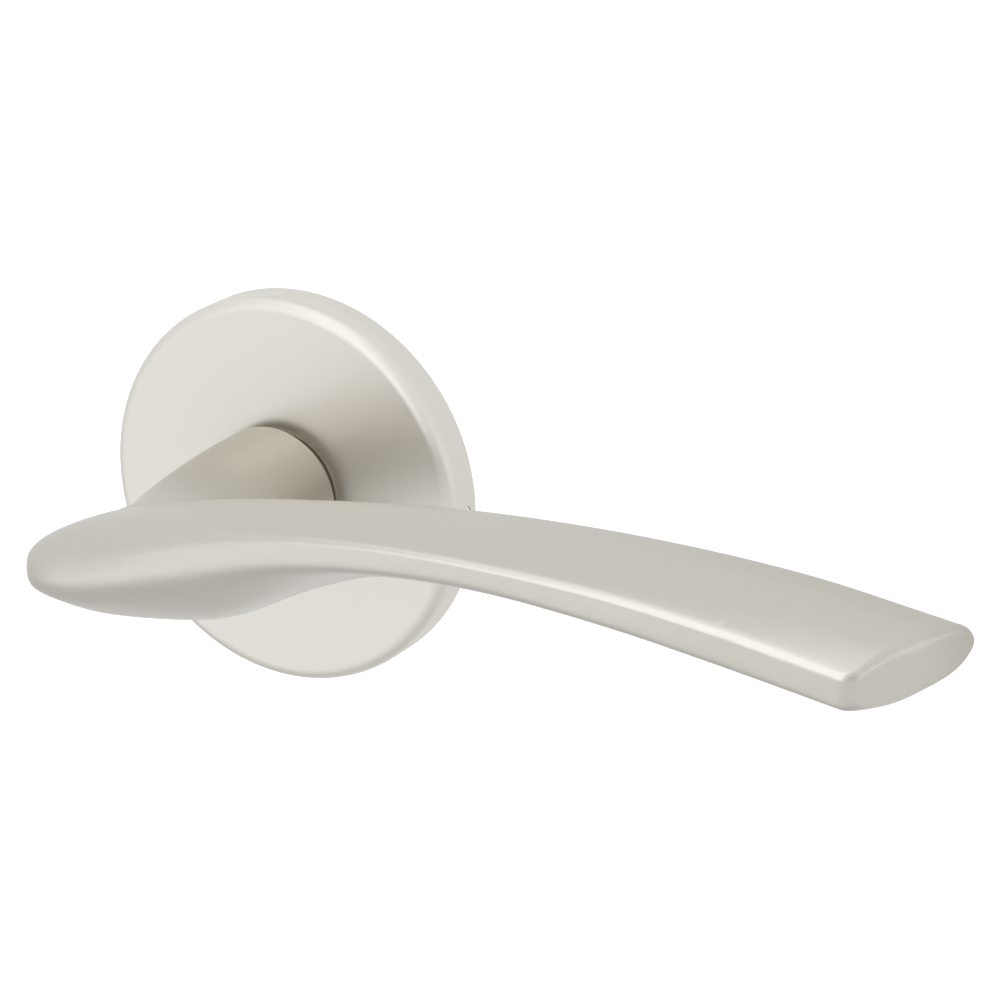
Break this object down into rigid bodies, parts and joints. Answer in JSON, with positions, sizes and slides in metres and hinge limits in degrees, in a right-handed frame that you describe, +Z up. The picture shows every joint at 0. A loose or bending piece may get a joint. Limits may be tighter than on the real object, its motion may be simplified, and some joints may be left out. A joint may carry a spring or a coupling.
{
  "type": "door lever handle",
  "caption": "Sprung door lever on a round rose, with neck, arched grip, square spindle, spring housing and fixing posts.",
  "frame": {"origin": "point where the spindle axis meets the door's face, midway between the two fixing posts", "axes": "+Y into the door along the spindle, +Z up, +X along the grip towards its tip"},
  "size_m": [0.1633, 0.0939, 0.065],
  "materials": {
    "satin_nickel": "satin",
    "zinc_plate": "zinc plated",
    "bright_steel": "drawn",
    "spring_steel": "hardened",
    "black_screw": "black oxide",
    "dark_nylon": "matte"
  },
  "bodies": {
    "rose": {"rose_cover": "satin_nickel", "rose_hole_ring": "dark_nylon", "neck_bush": "dark_nylon", "base_plate": "zinc_plate", "housing_cap": "zinc_plate", "upper_post": "zinc_plate", "lower_post": "zinc_plate", "cap_screw_left": "zinc_plate", "cap_screw_right": "zinc_plate", "stop_pin_left": "spring_steel", "stop_pin_right": "spring_steel", "return_spring": "spring_steel", "rose_set_screw": "satin_nickel"},
    "lever": {"lever": "satin_nickel", "lever_set_screw": "black_screw", "spindle": "bright_steel", "driver_plate": "zinc_plate", "thrust_washer": "zinc_plate", "disc_spring": "spring_steel", "retaining_ring": "spring_steel"}
  },
  "joints": [
    {"name": "lever_turn", "type": "hinge", "parent": "rose", "child": "lever", "pos_m": [0, 0, 0], "axis": [0, 1, 0], "range_deg": [-45, 45], "stiffness_Nm_per_rad": 1.5, "springref_deg": -5.73, "deforming": ["return_spring"]}
  ]
}
